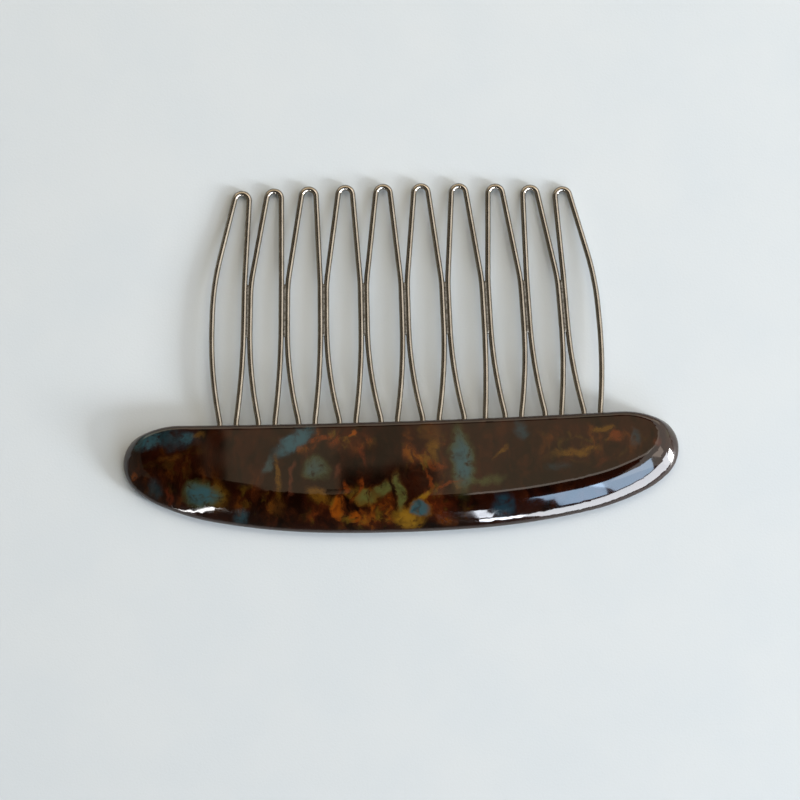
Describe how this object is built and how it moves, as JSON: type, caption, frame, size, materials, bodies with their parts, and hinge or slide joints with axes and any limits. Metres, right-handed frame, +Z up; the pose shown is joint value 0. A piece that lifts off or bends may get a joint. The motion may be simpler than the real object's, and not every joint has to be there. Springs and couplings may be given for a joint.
{
  "type": "decorative hair comb",
  "caption": "Side comb for the hair: a domed half-moon acetate head holds a row of bent wire hairpin teeth, soldered where neighbours touch.",
  "frame": {"origin": "under the middle of the comb's box, on the surface that it lies on", "axes": "+X along the head, towards the right end in the picture; +Y from the head to the tips of the teeth; +Z up out of the domed face"},
  "size_m": [0.1, 0.0629, 0.004],
  "materials": {
    "acetate": "polished tortoiseshell acetate, dark brown with amber and teal flecks",
    "wire": "satin drawn steel wire",
    "solder": "dull grey solder"
  },
  "bodies": {
    "root": {"head": "acetate", "tooth_01": "wire", "tooth_02": "wire", "tooth_03": "wire", "tooth_04": "wire", "tooth_05": "wire", "tooth_06": "wire", "tooth_07": "wire", "tooth_08": "wire", "tooth_09": "wire", "tooth_10": "wire", "solder_01": "solder", "solder_02": "solder", "solder_03": "solder", "solder_04": "solder", "solder_05": "solder", "solder_06": "solder", "solder_07": "solder", "solder_08": "solder", "solder_09": "solder"}
  },
  "joints": []
}
